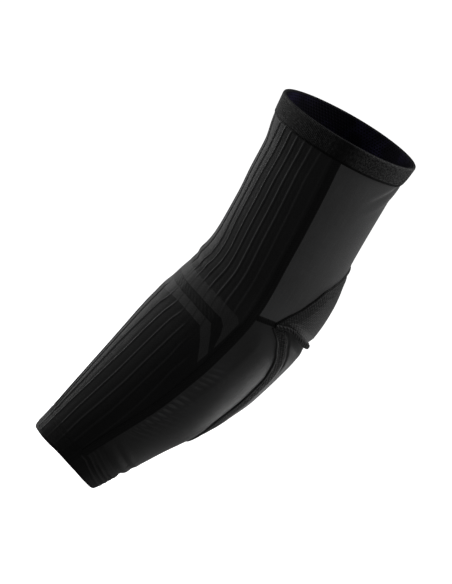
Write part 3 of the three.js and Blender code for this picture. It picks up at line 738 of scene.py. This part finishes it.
# ---------------------------------------------------------------- elbow cover, upper and lower cloth with a stitched fold between
def cover_part(name, lo, hi, rows, nodes, coarse_width):
    d = np.concatenate([np.linspace(0, 40, 34), np.linspace(40.6, 50, 22), np.linspace(51, 76, 26)])
    d = np.concatenate([-d[:0:-1], d])
    v = np.linspace(0, 1, rows)
    a, b = lo(np.abs(d)), hi(np.abs(d))
    S = a[None, :] + (b - a)[None, :] * v[:, None]
    D = np.broadcast_to(d[None, :], S.shape)
    # distance to the outline, in mm, measured on the sleeve
    P = at(S, D, 0.0, False)
    line = [at(f(np.abs(dd)), dd, 0.0, False) for f in (lo, hi) for dd in (np.linspace(-76, 76, 260),)]
    dist = [np.min(np.linalg.norm(P[:, :, None] - L[None, None], axis=-1), axis=-1) * 1000 for L in line]
    ed = np.minimum(dist[0], dist[1])
    outer = dist[1] if coarse_width else dist[0]
    crown = -0.15 + 1.6 * smooth(ed, 0.0, 8.0)
    # the darkening weight: painted shade in the grooves along the edges and near the fold, and on the lower cloth a
    # darker coarse strip
    if coarse_width:
        coarse = 1 - smooth(outer, coarse_width - 1.0, coarse_width + 1.0)
        painted_shade_and_dark_strip = np.maximum(np.exp(-((outer - coarse_width - 0.9) / 1.3) ** 2), 0.6 * (1 - smooth(dist[0], 1.0, 20.0)))
        painted_shade_and_dark_strip = np.maximum(painted_shade_and_dark_strip, 0.5 * coarse)
    else:
        coarse = 0.45 + 0.55 * np.exp(-(dist[0] / 9.0) ** 2)
        painted_shade_and_dark_strip = np.maximum(np.exp(-(dist[0] / 1.4) ** 2), 0.72 * (1 - smooth(dist[1], 1.0, 24.0)))
    low = np.exp(-((outer if coarse_width else dist[0]) / 0.9) ** 2)
    off = crown - (0.8 * np.exp(-((outer - coarse_width - 0.9) / 1.3) ** 2) if coarse_width else 0)
    return stretched(done(shell(name, S, D, off, -1.2, attrs={"coarse": coarse, "painted_shade_and_dark_strip": np.maximum(painted_shade_and_dark_strip, low)}), COVER, nodes))


cover_part("elbow_cover_upper_cloth", lambda d: cover_top(d) + 0.3, lambda d: fold_line(d) - 0.2, 60, ["elbow_cover_upper", "elbow_fold_cover"], 0)
cover_part("elbow_cover_lower_cloth", lambda d: fold_line(d) + 0.2, lambda d: cover_bottom(d) - 0.3, 90, ["elbow_cover_lower"], 7.0)


# ---------------------------------------------------------------- seams
def band_profile(half, proud, stitch, period):
    x = np.linspace(-1, 1, 13)

    def prof(l):
        l = l[:, None]
        crown = proud * (1 - np.abs(x) ** 5)[None, :] * (0.86 + 0.14 * np.cos(2 * np.pi * x * 1.5))[None, :]
        threads = stitch * np.cos(2 * np.pi * (l / period + 0.55 * x[None, :])) * (1 - np.abs(x[None, :]) ** 4)
        rows_ = -0.22 * (np.exp(-((np.abs(x) - 0.55) / 0.10) ** 2))[None, :]
        top = crown + threads + rows_
        upper = np.stack([np.broadcast_to(x[None, :] * half, top.shape), top], -1)
        low = np.stack([np.broadcast_to(x[None, ::3][:, ::-1] * half * 0.98, (len(l), 5)), np.full((len(l), 5), -0.35)], -1)
        return np.concatenate([upper, low], 1)

    return prof


def seam_strip(name, s, deg, half, proud, stitch, period, step, material, nodes):
    s, deg = resample(s, deg, 0.0, step)
    P, N = on_line(s, deg, 0.05)
    return done(sweep(name, P, N, band_profile(half, proud, stitch, period), 9.0), material, nodes)


ss = np.linspace(14.8, S_END - WRIST_DEPTH + 0.8, 200)
SEAM_MID = seam_deg(ss) + 1.9 / side(ss) * 180 / math.pi
seam_strip("long_seam_near", ss, SEAM_MID, 2.65, 0.42, 0.07, 1.55, 0.4, SEAM, ["upper_seam_near", "elbow_seam_near", "lower_seam_near"])
seam_strip("long_seam_far", ss, 360 - SEAM_MID, 2.65, 0.42, 0.07, 1.55, 0.4, SEAM, ["upper_seam_far", "elbow_seam_far", "lower_seam_far"])
sd = np.linspace(75.5, 91.5, 30)
seam_strip("short_seam_near", short_seam(sd), sd, 2.1, 0.40, 0.07, 1.5, 0.4, SEAM, [])
seam_strip("short_seam_far", short_seam(sd), -sd, 2.1, 0.40, 0.07, 1.5, 0.4, SEAM, [])


def cord_profile(r, twist, lobes=3, period=2.4, k=14):
    f = np.linspace(0, 2 * np.pi, k, endpoint=False)

    def prof(l):
        rr = r * (1 + twist * np.sin(lobes * f[None, :] - 2 * np.pi * l[:, None] / period))
        return np.stack([rr * np.cos(f[None, :]), rr * np.sin(f[None, :]) * 0.9], -1)

    return prof


def piping(name, s, deg, r, off, twist, material, nodes, step=0.45):
    s, deg = resample(s, deg, off, step)
    P, N = on_line(s, deg, off)
    dim = np.repeat(smooth(np.abs(deg), 63, 70), 14)
    return done(sweep(name, P, N, cord_profile(r, twist), 6.0, {"dim": dim}), material, nodes)


dd = np.linspace(-76, 76, 240)
piping("cover_piping_upper_cord", cover_top(np.abs(dd)), dd, 1.05, 0.15, 0.08, DARK_PIPE, ["cover_piping_upper"])
piping("cover_piping_lower_cord", cover_bottom(np.abs(dd)), dd, 0.62, 0.55, 0.08, PIPE, ["cover_piping_lower"])


def fold_seam():
    d = np.linspace(-75, 75, 200)
    s, deg = resample(fold_line(np.abs(d)), d, 1.0, 0.4)
    P, N = on_line(s, deg, 0.5)
    x = np.linspace(-1, 1, 11)

    def prof(l):
        l = l[:, None]
        mid = 1 - smooth(np.abs(deg), 24, 66)
        proud = (1.0 + 1.5 * mid)[:, None] * (0.93 + 0.07 * np.sin(2 * np.pi * l / 9.0))
        half = (1.5 + 0.5 * mid)[:, None]
        top = proud * (1 - x[None, :] ** 4) + 0.24 * np.cos(2 * np.pi * (l / 2.9 + 0.45 * x[None, :])) * (1 - x[None, :] ** 4)
        up = np.stack([x[None, :] * half + 0 * l, top], -1)
        low = np.stack([x[None, ::2][:, ::-1] * half * 0.95 + 0 * l, np.full((len(l), 6), -0.6)], -1)
        return np.concatenate([up, low], 1)

    return done(sweep("cover_fold_seam", P, N, prof, 6.0), FOLD, [])


fold_seam()


# ---------------------------------------------------------------- cuffs
def cuff(name, s0, s1, proud, wales, height, material, nodes, body, rim_at_start, ribs):
    """A doubled knit band, closed round its rim, with raised wales or hoops."""
    n = wales * 4
    D = np.linspace(0, 360, n + 1)
    # section of the band: s, offset and how much of the relief shows there
    if rim_at_start:
        sec = [(s1 + 0.4, -0.2, 0), (s1, 0.35, 0.2), (s1 - 0.5, proud * 0.92, 0.8), (s1 - 1.6, proud, 1), (s1 - 2.2, proud - 0.28, 0.4), (s1 - 2.8, proud, 1)]
        sec += [(s, proud, 1) for s in np.linspace(s1 - 4, s0 + 2.4, 8)]
        sec += [(s0 + 1.3, proud - 0.02, 0.9), (s0 + 0.55, proud - 0.22, 0.5), (s0 + 0.12, proud - 0.75, 0.15), (s0, proud - 1.25, 0), (s0 + 0.15, -1.0, 0), (s0 + 0.6, -1.4, 0), (s0 + 2.5, -1.5, 0), (s1 - 2, -1.5, 0), (s1 + 0.4, -1.5, 0)]
    else:
        hoops = np.linspace(s0 + 0.8, s1 - 2.6, 34)
        sec = [(s0 - 0.4, -0.2, 0), (s0, 0.25, 0.1)]
        for s in hoops:
            ph = (s - hoops[0]) / (hoops[-1] - hoops[0]) * ribs
            sec.append((s, proud - 0.22 + 0.30 * math.cos(2 * math.pi * ph), 1))
        sec += [(s1 - 2.1, proud - 0.5, 0.4), (s1 - 1.5, proud - 0.1, 0.6), (s1 - 0.8, proud - 0.1, 0.6), (s1 - 0.25, proud - 0.4, 0.2), (s1, proud - 0.9, 0), (s1 - 0.1, -0.9, 0), (s1 - 0.6, -1.35, 0), (s1 - 6, -1.4, 0), (s0 - 0.4, -1.4, 0)]
    sec = np.array(sec)
    S = np.broadcast_to(sec[:, :1], (len(sec), n + 1))
    DD = np.broadcast_to(D[None, :], S.shape)
    relief = height * np.cos(2 * np.pi * wales * DD / 360) * sec[:, 2:3]
    V = at(S, DD, sec[:, 1:2] + relief)
    R, C = S.shape
    r, c = np.meshgrid(np.arange(R), np.arange(C - 1), indexing="ij")
    a = (r * C + c).ravel()
    b = (((r + 1) % R) * C + c).ravel()
    F = np.stack([a, a + 1, b + 1, b], -1)
    uv = np.stack([np.radians(DD) * 45 / 100, S / 100], -1)
    inner = (sec[:, 1:2] < -0.4).astype(float) + 0 * DD
    # painted shade on the band where it passes over the side seam, between its lit rear and lit front
    painted_shade_over_seam = np.exp(-((180 - np.abs(DD - 180) - float(seam_deg(8.0)) - 4.0) / 7.0) ** 2) + 0 * S
    # rear: weight for the painted light on the band's lit rear half
    rear = 1 - smooth(180 - np.abs(DD - 180), 84, 98) + 0 * S
    # the rim's edge counts as inside, for the painted shade there
    inner = np.maximum(inner, (sec[:, :1] < s0 + 0.3) * 1.0)
    ob = make(name, V, F, uv, {"inner": inner, "painted_shade_over_seam": painted_shade_over_seam, "rear": rear}, sharp=70)
    weld(ob)
    return done(ob, material, nodes, body)


def band_cut(name, s0, s1):
    """The cut of a knit band: a strip as long as the arm's girth there and as deep as the band, less the stretch."""
    M = at(*np.meshgrid(np.linspace(s0, s1, 12), np.linspace(0, 360, 181), indexing="ij"), 0.0, False)
    girth = np.linalg.norm(np.diff(M, axis=1), axis=-1).sum(1)
    CUT[name] = (girth.max(), (s1 - s0) * 0.001, girth.mean() * (s1 - s0) * 0.001)


band_cut("upper_cuff_knit", 0.0, 15.0)
stretched(cuff("upper_cuff_knit", 0.0, 15.0, 0.70, 280, 0.10, CUFF, ["upper_cuff_band"], UPPER, True, 0))


def wrist_band():
    """The knit and the panel run on to a doubled hem with a dark binding along its edge."""
    n = 640
    D = np.linspace(0, 360, n + 1)
    a = 180 - np.abs(D - 180)
    end = wrist_edge(a)
    top = S_END - WRIST_DEPTH
    rows = [(top - 0.4 + 0 * a, -0.30, 0, 0), (top + 0.25 + 0 * a, 0.02, 1, 0)]
    for f in np.linspace(0.03, 1, 40):
        rows.append((top + 0.3 + (end - 2.5 - top - 0.3) * f, 0.12, 1, 0))
    rows += [(end - 2.3, 0.30, 0.4, 0), (end - 2.0, 0.12, 0, 1), (end - 1.2, 0.10, 0, 1), (end - 0.4, 0.0, 0, 1), (end - 0.05, -0.3, 0, 1), (end, -0.65, 0, 1)]
    rows += [(end - 0.15, -1.05, 0, 1), (end - 0.7, -1.35, 0, 1), (end - 6, -1.4, 0, 0), (top - 0.4 + 0 * a, -1.4, 0, 0)]
    S = np.stack([r[0] for r in rows])
    DD = np.broadcast_to(D[None, :], S.shape)
    A = np.broadcast_to(a[None, :], S.shape)
    off, relief, edge = (np.array([r[i] for r in rows])[:, None] for i in (1, 2, 3))
    front_ = smooth(A, seam_deg(S) + 1, seam_deg(S) + 6)
    rib = np.zeros(S.shape)
    for k in range(7):
        near = np.abs(180 - A - RIB_LINES[k](S)) * math.pi / 180 * side(S)
        rib = np.maximum(rib, LOW_STRENGTH[k] * np.exp(-(near / 0.52) ** 2))
    rib = rib * front_ * relief * (1 - 0.55 * smooth(S, 288, 299))
    tuck = np.exp(-((S - 289.3 - 0.5 * np.sin(np.radians(A) * 3)) / 0.8) ** 2) * relief
    wale = 0.035 * np.cos(2 * np.pi * 160 * DD / 360) * relief
    height = off + 0.45 * rib - 0.28 * tuck * front_ + wale
    V = at(S, DD, height)
    R, C = S.shape
    r, c = np.meshgrid(np.arange(R), np.arange(C - 1), indexing="ij")
    i0 = (r * C + c).ravel()
    i1 = (((r + 1) % R) * C + c).ravel()
    F = np.stack([i0, i0 + 1, i1 + 1, i1], -1)
    uv = np.stack([np.radians(DD) * 45 / 100, S / 100], -1)
    q = S - hem_drop(A)
    hem = sum(np.exp(-((q - x) / 0.6) ** 2) for x in HEM_LINES) * (1 - front_) * relief
    ob = make("wrist_hem_knit", V, F, uv, {"rib": rib, "edge": edge + 0 * S, "hem": hem, "front": front_, "inner": (off < -0.8) + 0.0 * S}, sharp=70)
    weld(ob)
    return done(ob, WRIST, ["wrist_cuff_band"], LOWER)


band_cut("wrist_hem_knit", S_END - WRIST_DEPTH, 302.5)
stretched(wrist_band())

# ---------------------------------------------------------------- inside: mesh lining, foam, pocket cloth
ln = shell("mesh_lining_cloth", *np.meshgrid(np.linspace(1.0, 60, 40), np.linspace(0, 360, 181), indexing="ij"), -1.9, -2.5, closed=True)
stretched(done(ln, MESH, ["upper_mesh_lining"], UPPER))


def foam(name, s0, s1, half_deg, t, nodes, channels=()):
    s = np.linspace(s0, s1, 48)
    d = np.linspace(-half_deg, half_deg, 60)
    S, D = np.meshgrid(s, d, indexing="ij")
    x, y = (S - s0) / (s1 - s0) * 2 - 1, D / half_deg
    # rounded corners: the grid is drawn in towards a superellipse
    k = np.maximum(np.abs(x), np.abs(y))
    r = (np.abs(x) ** 3.2 + np.abs(y) ** 3.2) ** (1 / 3.2)
    f = np.where(r > 1e-6, k / np.maximum(r, 1e-6), 1)
    S, D = (s0 + s1) / 2 + x * f * (s1 - s0) / 2, y * f * half_deg
    thick = t * np.clip(1 - k ** 4, 0, 1) ** 0.5 + 0.25
    for ch in channels:
        thick = thick - 1.6 * np.exp(-((S - ch) / 1.6) ** 2) * (k < 0.9)
    ob = shell(name, S, D, -2.1, -2.1 - thick)
    done(ob, FOAM, nodes)
    return ob


foam("foam_upper", 94, 117, 37, 3.8, ["elbow_pad_upper"])
foam("foam_elbow", 149, 181, 56, 6.4, ["elbow_pad_lower"], (160, 171))
foam("foam_forearm", 186, 245, 64, 5.4, ["forearm_pad"], (200, 215, 230))


def pocket(name, s0, s1, deg, t, nodes):
    s, d = np.linspace(s0, s1, 70), np.linspace(-deg, deg, 90)
    S, D = np.meshgrid(s, d, indexing="ij")
    x, y = (S - s0) / (s1 - s0), (D + deg) / (2 * deg)
    deep = 2.2 + t * np.minimum(1, 1.9 * np.sin(np.pi * x)) * np.minimum(1, 2.2 * np.sin(np.pi * y))
    return stretched(done(shell(name, S, D, -deep, -deep - 0.7), MESH, nodes))


pocket("pocket_cloth", 80, 258, 80, 7.6, ["pad_liner_upper", "pad_liner_lower"])

# ---------------------------------------------------------------- floor, light and camera
def stage_material():
    k = Nodes("studio_floor")
    n = k.noise(k.add("ShaderNodeTexCoord").outputs["Object"], 1.5, 2.0)
    col = k.mix(n, (0.90, 0.90, 0.90, 1), (0.93, 0.93, 0.93, 1))
    p = k.add("ShaderNodeBsdfPrincipled")
    k.link(col, p.inputs["Base Color"])
    p.inputs["Roughness"].default_value = 0.9
    p.inputs["Emission Color"].default_value = (1, 1, 1, 1)
    p.inputs["Emission Strength"].default_value = 0.95
    k.link(p.outputs[0], k.out.inputs[0])
    return k.m


fm = bpy.data.meshes.new("floor")
z0 = -0.30
fm.from_pydata([(-30, -30, z0), (30, -30, z0), (30, 30, z0), (-30, 30, z0)], [], [(0, 1, 2, 3)])
floor = bpy.data.objects.new("floor", fm)
PALE = stage_material()
for ob_ in (floor,):
    bpy.context.scene.collection.objects.link(ob_)
    ob_.data.materials.append(PALE)
    ob_.visible_diffuse = ob_.visible_glossy = ob_.visible_shadow = False

# The surroundings are a dim even light, and show pale behind the object.
world = bpy.data.worlds.new("studio")
world.use_nodes = True
wt = world.node_tree
wt.nodes.clear()
dim, pale = wt.nodes.new("ShaderNodeBackground"), wt.nodes.new("ShaderNodeBackground")
dim.inputs[1].default_value, pale.inputs[1].default_value = 0.17, 0.96
both, rays = wt.nodes.new("ShaderNodeMixShader"), wt.nodes.new("ShaderNodeLightPath")
wt.links.new(rays.outputs["Is Camera Ray"], both.inputs[0])
wt.links.new(dim.outputs[0], both.inputs[1])
wt.links.new(pale.outputs[0], both.inputs[2])
wt.links.new(both.outputs[0], wt.nodes.new("ShaderNodeOutputWorld").inputs[0])
for b_ in (dim, pale):
    b_.inputs[0].default_value = (1, 1, 1, 1)
bpy.context.scene.world = world
bpy.context.scene.view_settings.view_transform = "Standard"
bpy.context.scene.view_settings.look = "None"


def area(name, loc, aim, size, watts):
    l = bpy.data.lights.new(name, "AREA")
    l.shape, l.size, l.size_y, l.energy = "RECTANGLE", size[0], size[1], watts
    o = bpy.data.objects.new(name, l)
    o.location = loc
    o.rotation_mode = "QUATERNION"
    o.rotation_quaternion = (Vector(aim) - Vector(loc)).to_track_quat("-Z", "Y")
    o.visible_camera = False
    bpy.context.scene.collection.objects.link(o)


# camera axes: c towards the camera, r right, u up in the picture
c = Vector((-0.25, -0.9330127, 0.25881905))
r = Vector((0.86551226, -0.09551608, 0.49169625))
u = Vector((-0.43403747, 0.34693512, 0.83141295))
def placed(name, d, dist, size, watts):
    """A soft light in the direction d = (right, up, towards the camera), dist metres from the elbow."""
    v = (r * d[0] + u * d[1] + c * d[2]).normalized() * dist
    area(name, tuple(v), (0, 0, 0), size, watts)


placed("rim_left", (-0.83, 0.33, -0.90), 1.2, (0.3, 1.3), 10.6)
placed("top_left", (-0.50, 0.85, 0.00), 0.7, (0.3, 0.5), 3.5)
placed("key_right", (0.90, 0.45, 0.05), 0.6, (0.35, 0.35), 3.6)
placed("edge_below", (0.47, -0.72, -0.53), 0.5, (0.2, 0.2), 0.45)
placed("fill_low", (0.75, -0.60, 0.35), 0.9, (0.4, 0.9), 0.35)
placed("fill_front", (0.0, 0.10, 1.0), 1.5, (1.0, 1.0), 1.4)

cam_data = bpy.data.cameras.new("camera")
cam = bpy.data.objects.new("camera", cam_data)
bpy.context.scene.collection.objects.link(cam)
cam_data.sensor_width = 36.0
cam_data.lens = 1.5 / 0.00068 / 584 * 36
cam_data.clip_start, cam_data.clip_end = 0.05, 100
cam.matrix_world = Matrix(((r.x, u.x, c.x, -0.39255), (r.y, u.y, c.y, -1.39417), (r.z, u.z, c.z, 0.39057), (0, 0, 0, 1)))
bpy.context.scene.camera = cam
